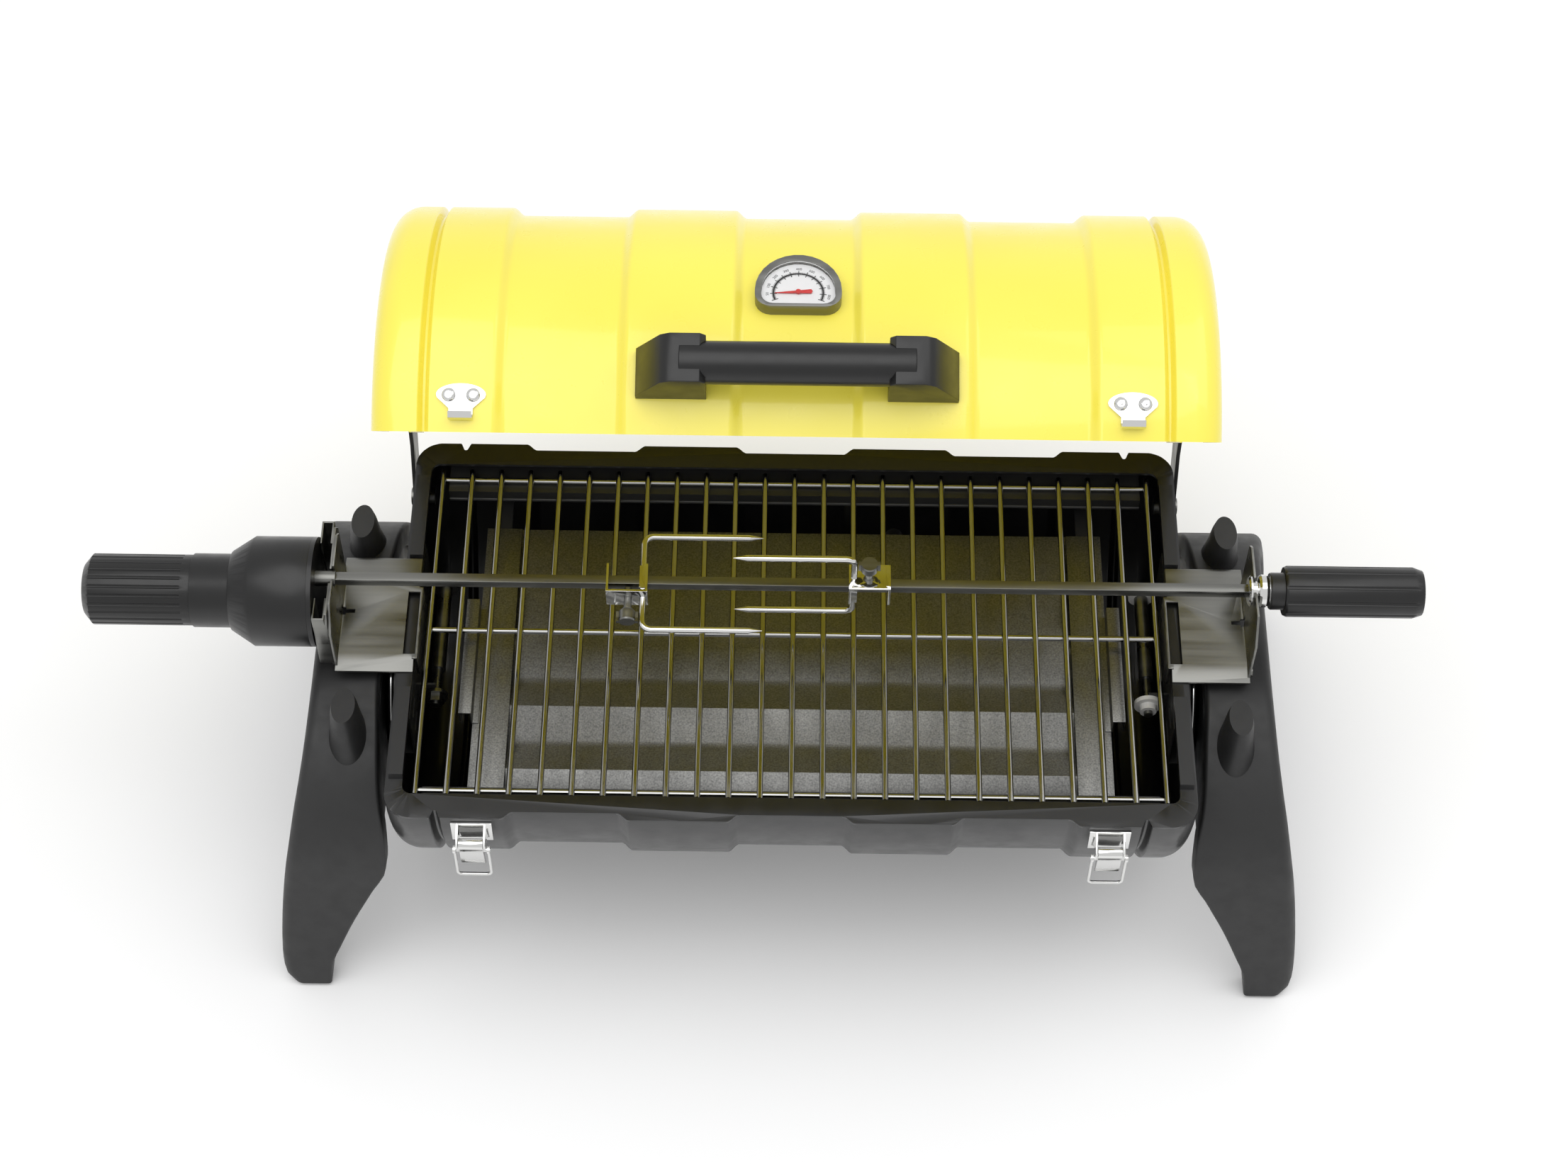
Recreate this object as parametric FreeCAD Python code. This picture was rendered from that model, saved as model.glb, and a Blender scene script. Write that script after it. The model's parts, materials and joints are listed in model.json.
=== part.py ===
import FreeCAD, Part
import math
import os

# Portable barrel grill with a hinged lid, arched end legs and a battery rotisserie.
#
# Everything is drawn in the drum frame, in millimetres: X along the drum, Y to the rear, Z up from the
# top of the bowl's rim. The lid's parts are drawn with the lid shut and then swung open together.
# save() moves each node to the row frame, whose origin is on the ground under the middle of the whole
# machine.

V = FreeCAD.Vector
X_AXIS = V(1, 0, 0)
ORIGIN = V(0, 0, 0)
BIG = 400.0

# Frame
RIM_HEIGHT = 200.0
CENTRE_X = -27.0
CENTRE_Y = 34.0
ROW_SHIFT = V(-CENTRE_X, -CENTRE_Y, RIM_HEIGHT)

# Drum (bowl and lid share one corrugated outline)
DRUM_R = 147.5
RECESS = 5.0
SHEET = 1.2
HALF_LENGTH = 258.0
BAND_STEPS = ((34.2, 39.3), (103.4, 108.6), (177.2, 182.5))
SEAM_X = 225.0
SEAM_HALF = 1.6
SEAM_DEPTH = 6.5
SHOULDER_R = 18.0

# Rim
RIM_T = 2.0
RIM_INNER_Y = 130.0
RIM_INNER_X = 247.0
PLATEAU_H = 3.5
PLATEAU_Y = (52.0, 118.0)

# Lid hinge
HINGE_Y = 133.0
HINGE_Z = -42.0
OPEN_DEG = 53.0
LID_GAP = 2.0
ARM_X = (260.0, 262.5)

# Grate
ROD_R = 2.0
ROD_PITCH = 20.0
ROD_COUNT = 25
GRATE_Z = -8.0
GRATE_Y = (-126.0, 130.0)
CROSS_Z = GRATE_Z - 3.6
LEDGE_Z = CROSS_Z - ROD_R

# Heat plate
PLATE_HALF_X = 192.0
PLATE_END_X = 209.5
PLATE_TOP_Z = -33.0
PLATE_LOW_Z = -40.0
PLATE_T = 1.0
PLATE_FOLDS = ((99.5, 0), (32.8, 1), (6.6, 0), (-15.3, 1), (-21.5, 1), (-42.5, 0),
               (-64.4, 1), (-69.9, 1), (-91.0, 0), (-106.0, 1))

# Burner
BURNER_Z = -75.0
BURNER_R = 11.0
FEED_X = 70.0
FEED_R = 7.0
INLET_R = 5.0
INLET_Y = (134.0, 168.0)

# Spit
SPIT_Z = 50.0
SPIT_HALF = 6.35 / 2
SPIT_PLAY = 0.15
BRACKET_X = 296.0
BRACKET_T = 1.5
MOUNT_LOW_Z = 2.0

# Motor and its gear train (output gear on the spit axis, the others straight below it)
MOTOR_Z = 34.4
MOTOR_R = 35.7
MOTOR_WALL = 2.0
MOTOR_X = (-308.0, -348.0, -363.0, -388.0, -458.0)
NECK_R = 24.0
BATTERY_R = 23.0
GEAR_MODULE = 0.55
PINION_TEETH = 10
WHEEL_TEETH = 50
GEAR_BACKLASH = 0.12
GEAR_STEP = GEAR_MODULE * (PINION_TEETH + WHEEL_TEETH) / 2

# Forks
TINE_R = 2.1
TINE_SPREAD = 34.0
FORK_L = {"name": "left_fork", "x": -97.0, "tip": -20.0, "toward": 1, "turn": 185.5}
FORK_R = {"name": "right_fork", "x": 38.5, "tip": -38.7, "toward": -1, "turn": 95.5}

# Legs
LEG_TOP_Z = -8.0
LEG_FLAT_Y = 30.0
LEG_ARC_R = 110.0
LEG_BAND = 16.0
LEG_TILT = math.radians(75)
PAD_T = 3.0
HUB_Z = -75.0
BOSS_Y = (-28.0, 28.0)
BOSS_TOP_Z = 1.4
BOSS_SCREW_Z = -2.5
PEG_Y = 75.0
PEG_X = 288.0

# Latches and lid fittings
LATCH_X = 202.0
LATCH_Y = -159.0
LATCH_Z = -13.0
LEVER_PIN_DROP = 6.0
BAIL_PIN_R = 1.2
BAIL_WIRE_R = 1.1
BAIL_HALF = 10.8
BAIL_DROP = 31.0
HANDLE_DEG = 15.0
GAUGE_DEG = 37.5
CATCH_DEG = 10.0


# ---------------------------------------------------------------- drawing helpers

def box(x0, x1, y0, y1, z0, z1):
    return Part.makeBox(x1 - x0, y1 - y0, z1 - z0, V(x0, y0, z0))


def rod_x(x0, x1, y, z, r):
    return Part.makeCylinder(r, x1 - x0, V(x0, y, z), V(1, 0, 0))


def rod_y(y0, y1, x, z, r):
    return Part.makeCylinder(r, y1 - y0, V(x, y0, z), V(0, 1, 0))


def rod_z(z0, z1, x, y, r):
    return Part.makeCylinder(r, z1 - z0, V(x, y, z0), V(0, 0, 1))


def prism(points, path):
    """A closed polygon swept along a vector."""
    return Part.Face(Part.makePolygon(points + [points[0]])).extrude(path)


def prism_yz(points, x0, x1):
    return prism([V(x0, y, z) for y, z in points], V(x1 - x0, 0, 0))


def prism_xz(points, y0, y1):
    return prism([V(x, y0, z) for x, z in points], V(0, y1 - y0, 0))


def prism_xy(points, z0, z1):
    return prism([V(x, y, z0) for x, y in points], V(0, 0, z1 - z0))


def turned_x(profile, y=0.0, z=0.0):
    """A solid of revolution about a line along X, from (x, radius) points."""
    face = Part.Face(Part.makePolygon([V(x, r, 0) for x, r in profile + [profile[0]]]))
    solid = face.revolve(ORIGIN, X_AXIS, 360)
    return solid.translated(V(0, y, z))


def turned_z(profile):
    face = Part.Face(Part.makePolygon([V(r, 0, z) for r, z in profile + [profile[0]]]))
    return face.revolve(ORIGIN, V(0, 0, 1), 360)


def hexagon_x(x0, x1, y, z, across):
    r = across / math.sqrt(3)
    turns = [math.radians(60 * k) for k in range(6)]
    ring = [(y + r * math.cos(a), z + r * math.sin(a)) for a in turns]
    return prism_yz(ring, x0, x1)


def fuse(shapes):
    return shapes[0].multiFuse(shapes[1:]).removeSplitter()


def mirrored(shape):
    return shape.mirror(ORIGIN, X_AXIS)


def pair(shape):
    """The shape at the right-hand end and its mirror image at the left-hand end."""
    return [shape, mirrored(shape)]


def spun(shape, degrees, y=0.0, z=0.0):
    """A copy turned about the line along X through (y, z)."""
    turned = shape.copy()
    turned.rotate(V(0, y, z), X_AXIS, degrees)
    return turned


def opened(shape):
    """A copy of a lid part, swung from shut to the rest pose."""
    return spun(shape, -OPEN_DEG, HINGE_Y, HINGE_Z)


def on_lid(shape, angle, radius):
    """Put a part drawn on the XY plane, facing +Z, onto the lid at an angle above its front edge."""
    placed = spun(shape, 90 - angle)
    lift = math.radians(angle)
    return placed.translated(V(0, -radius * math.cos(lift), radius * math.sin(lift)))


def save(name, shapes):
    solids = shapes if isinstance(shapes, list) else [shapes]
    whole = Part.makeCompound([s for shape in solids for s in shape.Solids])
    whole.translate(ROW_SHIFT)
    if not whole.isValid() or not whole.Solids:
        print("check", name)
    whole.exportStep("parts/" + name + ".step")


# ---------------------------------------------------------------- drum

def outline(groove=True):
    """(x, radius) along the drum's outside. The rim has a notch at each seam, and the wall has none."""
    half = [(0.0, DRUM_R - RECESS)]
    radius = DRUM_R - RECESS
    for start, end in BAND_STEPS:
        half.append((start, radius))
        radius = 2 * DRUM_R - RECESS - radius
        half.append((end, radius))
    if groove:
        half += [(SEAM_X - 2 * SEAM_HALF, DRUM_R), (SEAM_X - SEAM_HALF, DRUM_R - 1.5),
                 (SEAM_X - SEAM_HALF, DRUM_R - SEAM_DEPTH), (SEAM_X + SEAM_HALF, DRUM_R - SEAM_DEPTH),
                 (SEAM_X + SEAM_HALF, DRUM_R - 1.5)]
    half.append((SEAM_X + 2 * SEAM_HALF, DRUM_R))
    return [(-x, r) for x, r in half[:0:-1]] + half[1:]


def swept(face, side):
    """Half a turn of a profile drawn with its radius along -Y: side 1 sweeps the bowl, -1 the lid."""
    return face.revolve(ORIGIN, X_AXIS, 180 * side)


def drum_wall(side):
    outside = outline(groove=False)
    inside = [(x, r - SHEET) for x, r in reversed(outside)]
    ring = [V(x, -r, 0) for x, r in outside + inside]
    return swept(Part.Face(Part.makePolygon(ring + [ring[0]])), side)


def quarter(cx, cr, radius, start):
    """An arc of 90 degrees in the profile plane, clockwise in (x, r) from the start angle."""
    points = []
    for step in (0, 45, 90):
        a = math.radians(start - step)
        points.append(V(cx + radius * math.cos(a), -(cr + radius * math.sin(a)), 0))
    return Part.Arc(*points).toShape()


def drum_end(side):
    """The rounded end cap of one half drum, at the right-hand end."""
    x0 = SEAM_X + 2 * SEAM_HALF
    cx = HALF_LENGTH - SHOULDER_R
    cr = DRUM_R - SHOULDER_R
    edges = [
        Part.makeLine(V(x0, -DRUM_R, 0), V(cx, -DRUM_R, 0)),
        quarter(cx, cr, SHOULDER_R, 90),
        Part.makeLine(V(HALF_LENGTH, -cr, 0), V(HALF_LENGTH, 0, 0)),
        Part.makeLine(V(HALF_LENGTH, 0, 0), V(HALF_LENGTH - SHEET, 0, 0)),
        Part.makeLine(V(HALF_LENGTH - SHEET, 0, 0), V(HALF_LENGTH - SHEET, -cr, 0)),
        quarter(cx, cr, SHOULDER_R - SHEET, 90),
        Part.makeLine(V(cx, -DRUM_R + SHEET, 0), V(x0, -DRUM_R + SHEET, 0)),
        Part.makeLine(V(x0, -DRUM_R + SHEET, 0), V(x0, -DRUM_R, 0)),
    ]
    return swept(Part.Face(Part.Wire(Part.__sortEdges__(edges))), side)


def make_bowl():
    above = box(-BIG, BIG, -BIG, BIG, -RIM_T, BIG)
    feed_hole = rod_y(0, BIG, FEED_X, BURNER_Z, FEED_R + 0.2)
    save("bowl_drum", drum_wall(1).cut(above).cut(feed_hole))
    holes = [rod_x(0, BIG, HINGE_Y, HINGE_Z, 3.1), rod_x(0, BIG, 0, HUB_Z, 4.1)]
    end = drum_end(1).cut(above)
    for hole in holes:
        end = end.cut(hole)
    save("bowl_right_end", end)
    save("bowl_left_end", mirrored(end))


def rim_ring():
    """The whole rim as one flat ring that follows the drum's outline."""
    cx = HALF_LENGTH - SHOULDER_R
    front = [(x, -r) for x, r in outline()]
    rear = [(x, r) for x, r in reversed(outline())]
    corners = []
    for sx, sy in ((1, -1), (1, 1), (-1, 1), (-1, -1)):
        arc = []
        for step in range(0, 91, 15):
            a = math.radians(step)
            arc.append((sx * (cx + SHOULDER_R * math.sin(a)),
                        sy * (DRUM_R - SHOULDER_R + SHOULDER_R * math.cos(a))))
        corners.append(arc if sx * sy < 0 else arc[::-1])
    ring = front + corners[0] + corners[1] + rear + corners[2] + corners[3]
    return prism_xy(ring, -RIM_T, 0).cut(box(-RIM_INNER_X, RIM_INNER_X, -RIM_INNER_Y, RIM_INNER_Y, -BIG, BIG))


def make_rims():
    ring = rim_ring()
    front = ring.common(box(-BIG, BIG, -BIG, -RIM_INNER_Y, -BIG, BIG))
    rear = ring.common(box(-BIG, BIG, RIM_INNER_Y, BIG, -BIG, BIG))
    end = ring.common(box(0, BIG, -RIM_INNER_Y, RIM_INNER_Y, -BIG, BIG))
    y0, y1 = PLATEAU_Y
    slope = 2.0
    for side in (-1, 1):
        ridge = [(side * (y0 - slope), 0), (side * y0, PLATEAU_H), (side * y1, PLATEAU_H),
                 (side * (y1 + slope), 0)]
        end = end.fuse(prism_yz(ridge, RIM_INNER_X, HALF_LENGTH - SHEET - 0.8))
    save("rim_frame", [front, rear] + pair(end.removeSplitter()))


# ---------------------------------------------------------------- inside the bowl

def make_grate():
    half = (ROD_COUNT - 1) / 2
    rods = [rod_y(GRATE_Y[0], GRATE_Y[1], ROD_PITCH * (k - half), GRATE_Z, ROD_R) for k in range(ROD_COUNT)]
    reach = ROD_PITCH * half + ROD_R
    middle = sum(GRATE_Y) / 2
    crosses = [rod_x(-reach, reach, y, CROSS_Z, ROD_R) for y in (GRATE_Y[0] + 5, middle, GRATE_Y[1] - 5)]
    save("cooking_grate", fuse(crosses + rods))


def make_supports():
    """Sheet-metal supports inside the bowl: grate ledges, heat plate rails and burner saddles."""
    supports = []
    for side in (-1, 1):
        near, far, fold = side * 117, side * 139, side * 118.2
        flat = box(-236, 236, min(near, far), max(near, far), LEDGE_Z - SHEET, LEDGE_Z)
        lip = box(-236, 236, min(near, fold), max(near, fold), LEDGE_Z - 9, LEDGE_Z)
        bead = rod_x(-236, 236, side * 117.6, LEDGE_Z - 9, 1.6)
        supports.append(fuse([flat, lip, bead]))
    rail = box(194, 206, -BIG, BIG, PLATE_LOW_Z - PLATE_T - 3, PLATE_LOW_Z - PLATE_T)
    rail = rail.common(rod_x(0, BIG, 0, 0, DRUM_R - SHEET))
    saddle_top = BURNER_Z - BURNER_R - 1
    under = [(-88, -116), (-85, -118), (-14, -90), (14, -90), (85, -118), (88, -116)]
    saddle = prism_yz(under + [(17, saddle_top), (-17, saddle_top)], 118, 130)
    saddle = saddle.cut(rod_x(0, BIG, 0, BURNER_Z, BURNER_R + 0.05))
    saddle = saddle.common(rod_x(0, BIG, 0, 0, DRUM_R - RECESS - SHEET))
    save("bowl_supports", supports + pair(rail) + pair(saddle))


def make_heat_plate():
    top = [(y, PLATE_LOW_Z if low else PLATE_TOP_Z) for y, low in PLATE_FOLDS]
    under = [(y, z - PLATE_T) for y, z in reversed(top)]
    save("heat_plate", prism_yz(top + under, -PLATE_HALF_X, PLATE_HALF_X))
    strip = box(PLATE_HALF_X - 6, PLATE_END_X, -106, 99.5, PLATE_TOP_Z, PLATE_TOP_Z + PLATE_T)
    clip = prism_xz([(PLATE_END_X - 4, -32), (PLATE_END_X + 1, -32), (PLATE_END_X + 1, -20),
                     (PLATE_END_X + 7, -20), (PLATE_END_X + 7, -30), (PLATE_END_X + 8.2, -30),
                     (PLATE_END_X + 8.2, -18.8), (PLATE_END_X - 0.2, -18.8), (PLATE_END_X - 0.2, -30.8),
                     (PLATE_END_X - 4, -30.8)], -58, 32)
    save("heat_plate_ends", pair(fuse([strip, clip])))


def make_burner():
    tube = rod_x(-165, 165, 0, BURNER_Z, BURNER_R).cut(rod_x(-163.5, 163.5, 0, BURNER_Z, BURNER_R - 1.5))
    ports = []
    for k in range(19):
        x = -144 + 16 * k
        for tilt in (-35, 35):
            port = Part.makeCylinder(1.5, 20, V(x, 0, BURNER_Z), V(0, math.sin(math.radians(tilt)),
                                                                    math.cos(math.radians(tilt))))
            ports.append(port)
    tube = tube.cut(Part.makeCompound(ports))
    tube = tube.cut(rod_y(0, 30, FEED_X, BURNER_Z, FEED_R))
    save("burner_tube", tube)
    feed = rod_y(BURNER_R - 2, INLET_Y[0], FEED_X, BURNER_Z, FEED_R)
    feed = feed.cut(rod_y(0, INLET_Y[0] - 6, FEED_X, BURNER_Z, FEED_R - 1.5))
    feed = feed.cut(rod_x(0, BIG, 0, BURNER_Z, BURNER_R))
    save("gas_feed_tube", feed)
    nut = hexagon_x(0, 12, 0, 0, 19)
    nut.rotate(ORIGIN, V(0, 0, 1), 90)
    nut = nut.translated(V(FEED_X, INLET_Y[0], BURNER_Z))
    stub = rod_y(INLET_Y[0] + 12, INLET_Y[1], FEED_X, BURNER_Z, INLET_R)
    save("gas_inlet", fuse([nut, stub]).cut(rod_y(INLET_Y[0] + 2, BIG, FEED_X, BURNER_Z, 2.5)))


def make_end_rods():
    x, z, y0, y1 = 236.0, -42.0, -34.0, 55.0
    rod = fuse([rod_y(y0 + 24, y1, x, z, 4.6), rod_y(y0 - 4, y0 + 24, x, z, 2.9)])
    rear_washer = rod_y(y1, y1 + 3, x, z, 8.5)
    front = fuse([rod_y(y0 + 3, y0 + 6, x, z, 9.0), rod_y(y0 - 1.5, y0 + 3, x, z, 5.5)])
    front = front.cut(rod_y(y0 - 10, y0 + 10, x, z, 2.95))
    save("ceramic_bushings", [rear_washer, front])
    collar = mirrored(rod_y(y1, y1 + 3, x, z, 8.5))
    nut = hexagon_x(0, 5, 0, 0, 10)
    nut.rotate(ORIGIN, V(0, 0, 1), 90)
    nut = nut.cut(rod_y(-10, 10, 0, 0, 2.95)).translated(V(-x, y0 - 2.5, z))
    plate = mirrored(rod_y(y0 + 2.5, y0 + 5, x, z, 8.0).cut(rod_y(y0 - 10, y0 + 10, x, z, 2.95)))
    save("end_rods", pair(rod) + [collar, nut, plate])
    baffle = box(249, 250.2, -62, 78, -64, -20)
    for y in (-52, -8, 34):
        baffle = baffle.cut(box(240, 260, y, y + 16, -36, -32)).cut(box(240, 260, y, y + 16, -52, -48))
    lug_rear = box(236, 249, y1 + 3, y1 + 4.5, -52, -32)
    lug_front = box(236, 249, y0 + 6, y0 + 7.5, -52, -32).cut(rod_y(y0, y0 + 10, x, z, 3.2))
    foot = box(250.2, HALF_LENGTH - SHEET, -62, 78, -64, -62.8)
    save("end_baffles", pair(fuse([baffle, lug_rear, lug_front, foot])))


# ---------------------------------------------------------------- legs

def leg_line(offset):
    """Half of the leg's side profile, front side first, at a depth below its outer surface."""
    r = LEG_ARC_R - offset
    cz = LEG_TOP_Z - LEG_ARC_R
    turn_y = LEG_FLAT_Y + r * math.sin(LEG_TILT)
    turn_z = cz + r * math.cos(LEG_TILT)
    drop = turn_z - (PAD_T - RIM_HEIGHT)
    foot_y = turn_y + drop / math.tan(LEG_TILT)
    return r, cz, turn_y, turn_z, foot_y


def arch(offset, x0, x1, floor):
    """A solid under the leg's side profile, down to a floor height."""
    r, cz, turn_y, turn_z, foot_y = leg_line(offset)
    half = LEG_TILT / 2
    low = PAD_T - RIM_HEIGHT
    mid_y = LEG_FLAT_Y + r * math.sin(half)
    mid_z = cz + r * math.cos(half)
    edges = [
        Part.makeLine(V(x0, -foot_y, low), V(x0, -turn_y, turn_z)),
        Part.Arc(V(x0, -turn_y, turn_z), V(x0, -mid_y, mid_z), V(x0, -LEG_FLAT_Y, cz + r)).toShape(),
        Part.makeLine(V(x0, -LEG_FLAT_Y, cz + r), V(x0, LEG_FLAT_Y, cz + r)),
        Part.Arc(V(x0, LEG_FLAT_Y, cz + r), V(x0, mid_y, mid_z), V(x0, turn_y, turn_z)).toShape(),
        Part.makeLine(V(x0, turn_y, turn_z), V(x0, foot_y, low)),
        Part.makeLine(V(x0, foot_y, low), V(x0, -foot_y, low)),
    ]
    solid = Part.Face(Part.Wire(edges)).extrude(V(x1 - x0, 0, 0))
    return solid.cut(box(0, BIG, -BIG, BIG, -BIG, floor)) if floor > low else solid


def oval(x, y, z, size_x, size_y):
    """An oval wire, long in Y."""
    wide = max(size_x, size_y) / 2
    thin = min(size_x, size_y) / 2
    ellipse = Part.Ellipse(V(x, y + wide, z), V(x + thin, y, z), V(x, y, z))
    return Part.Wire([ellipse.toShape()])


def peg(side):
    y = side * PEG_Y
    sections = [(-46, 31, 42), (-16, 24, 33), (-4, 20, 30), (12, 15, 26)]
    return Part.makeLoft([oval(PEG_X, y, z, wide, deep) for z, wide, deep in sections], True)


def make_legs():
    outer = [(314.5, -8), (317, -20), (320, -33), (324, -50), (328.5, -73), (334, -103), (338.7, -136),
             (341.4, -163), (342, -183), (340, -193), (334, -200)]
    inner = [(310.5, -200), (310.5, -196), (307.5, -178), (300.8, -162), (294.9, -148.5), (288.5, -135),
             (281.3, -121.4), (274.1, -108), (267.7, -98), (265.2, -88), (265.2, -62), (267.3, -42),
             (268.7, -18), (270.5, -8)]
    front_view = prism_xz([(x, z) for x, z in outer + inner], -BIG, BIG)
    band = arch(0, 262, 344, -BIG).cut(arch(LEG_BAND, 262, 344, -BIG))
    leg = band.common(front_view)
    web = arch(LEG_BAND - 0.5, 270, 274, HUB_Z - 15)
    for y in (-70, 70):
        web = web.cut(box(260, 280, y - 22, y + 22, HUB_Z - 4, HUB_Z + 22))
    hub = rod_x(270, 276, 0, HUB_Z, 46)
    bosses = [box(286, BRACKET_X, y - 5, y + 5, LEG_TOP_Z - 5, BOSS_TOP_Z) for y in BOSS_Y]
    leg = leg.fuse([web, hub, peg(-1), peg(1)] + bosses).removeSplitter()
    for y in BOSS_Y:
        leg = leg.cut(rod_x(280, BIG, y, BOSS_SCREW_Z, 2.1))
    leg = leg.cut(rod_x(0, BIG, 0, HUB_Z, 4.1))
    save("right_leg", leg)
    save("left_leg", mirrored(leg))
    foot_y = (leg_line(0)[4] + leg_line(LEG_BAND)[4]) / 2
    pads = []
    for side in (-1, 1):
        pad = box(312, 332, side * foot_y - 7, side * foot_y + 7, -RIM_HEIGHT, PAD_T - RIM_HEIGHT)
        pads += pair(pad.makeFillet(2.0, [e for e in pad.Edges if abs(e.tangentAt(0).z) > 0.9]))
    save("foot_pads", pads)
    flange = turned_x([(HALF_LENGTH, 4.1), (HALF_LENGTH, 62), (262, 62), (263, 50), (263, 36), (270, 30),
                       (270, 4.1)], 0, HUB_Z)
    save("leg_hubs", pair(flange))
    ring = Part.makeTorus(58, 1.8, V(264.4, 0, HUB_Z), V(1, 0, 0))
    ring_small = Part.makeTorus(53, 1.2, V(264.4, 0, HUB_Z), V(1, 0, 0))
    bolt = fuse([rod_x(250, 280, 0, HUB_Z, 4.0), hexagon_x(250, HALF_LENGTH - SHEET, 0, HUB_Z, 13),
                 rod_x(276, 278, 0, HUB_Z, 9), hexagon_x(278, 284, 0, HUB_Z, 13)])
    save("leg_hardware", pair(bolt) + pair(ring) + pair(ring_small))


# ---------------------------------------------------------------- spit brackets and motor

def bracket(opening):
    """The right-hand bracket: a plate on the rim's end, folded up at its outer edge."""
    top = 4.5
    under = top - BRACKET_T
    flat = [(-39.5, 1.5), (-27, top), (46, top), (48.7, top - 1), (48.7, under), (-27, under), (-39.5, 0)]
    plate = prism_yz(flat, RIM_INNER_X, BRACKET_X + BRACKET_T)
    plate = plate.cut(box(246.1, 254, -27.5, 21.5, -10, 10))
    tab = box(244.6, 246.1, -31, 25, -14, top)
    tab = tab.fuse(box(244.6, 248, -31, -27.5, 3, top)).fuse(box(244.6, 248, 21.5, 25, 3, top))
    upright = [(-34.5, -7), (-36, 0), (-36, 38), (-27, 52), (-24, 56), (30, 56), (35, 51), (35, 0), (33, -7),
               (20, -7), (20, top), (-20, top), (-20, -7)]
    upright = prism_yz(upright, BRACKET_X, BRACKET_X + BRACKET_T)
    upright = upright.cut(rod_x(0, BIG, 0, SPIT_Z, opening)).cut(box(0, BIG, -opening, opening, SPIT_Z, BIG))
    cross = box(288, 300, 4, 7, -10, 12).fuse(box(294, 300, 2.5, 8.5, -10, 6))
    whole = fuse([plate, tab, upright]).cut(cross)
    for y in BOSS_Y:
        whole = whole.cut(rod_x(290, BIG, y, BOSS_SCREW_Z, 2.1))
    return whole


def make_brackets():
    save("right_spit_bracket", bracket(6.3))
    save("left_spit_bracket", mirrored(bracket(5.6)))
    screws = []
    for y in BOSS_Y:
        screw = rod_x(288, BRACKET_X + BRACKET_T, y, BOSS_SCREW_Z, 2.0)
        screws += pair(fuse([screw, rod_x(BRACKET_X + BRACKET_T, 300, y, BOSS_SCREW_Z, 3.6)]))
    save("bracket_screws", screws)


def channel(y0, y1, lip_side):
    """A folded box channel of the motor mount, open towards the motor's neck."""
    x0, x1 = -307.4, -299.4
    shell = box(x0, x1, y0, y1, MOUNT_LOW_Z, 53).cut(box(x0 + 1.2, x1 - 1.2, y0 + 1.2, y1 - 1.2, -1, 54))
    if lip_side > 0:
        return shell.cut(box(x0 + 1.2, x1 - 1.2, y1 - 2, y1 + 1, -1, 54))
    return shell.cut(box(x0 + 1.2, x1 - 1.2, y0 - 1, y0 + 2, -1, 54))


def make_motor_mount():
    plate = prism_yz([(-34, MOUNT_LOW_Z), (-34, 46), (-30, 53), (38, 53), (43, 46), (43, MOUNT_LOW_Z)],
                     -299.4, -297.9)
    plate = plate.cut(rod_x(-BIG, 0, 0, SPIT_Z, 5.6)).cut(box(-BIG, 0, -5.6, 5.6, SPIT_Z, BIG))
    mount = fuse([plate, channel(-34, -17.4, 1), channel(25.6, 43, -1)])
    save("motor_mount", mount)


def gear(teeth, x0, x1, y, z, phase=0.0, bore=0.0, module=GEAR_MODULE):
    """A spur gear about a line along X, with straight-sided teeth narrowed for backlash."""
    pitch_r = module * teeth / 2
    outer = pitch_r + 0.9 * module
    root = pitch_r - 1.15 * module
    step = 2 * math.pi / teeth
    half = step / 4 - GEAR_BACKLASH / pitch_r
    ring = []
    for k in range(teeth):
        a = k * step + phase
        for r, da in ((root, -half * 1.6), (outer, -half * 0.5), (outer, half * 0.5), (root, half * 1.6)):
            ring.append((y + r * math.cos(a + da), z + r * math.sin(a + da)))
    body = prism_yz(ring, x0, x1)
    return body.cut(rod_x(-BIG, BIG, y, z, bore)) if bore else body


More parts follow.
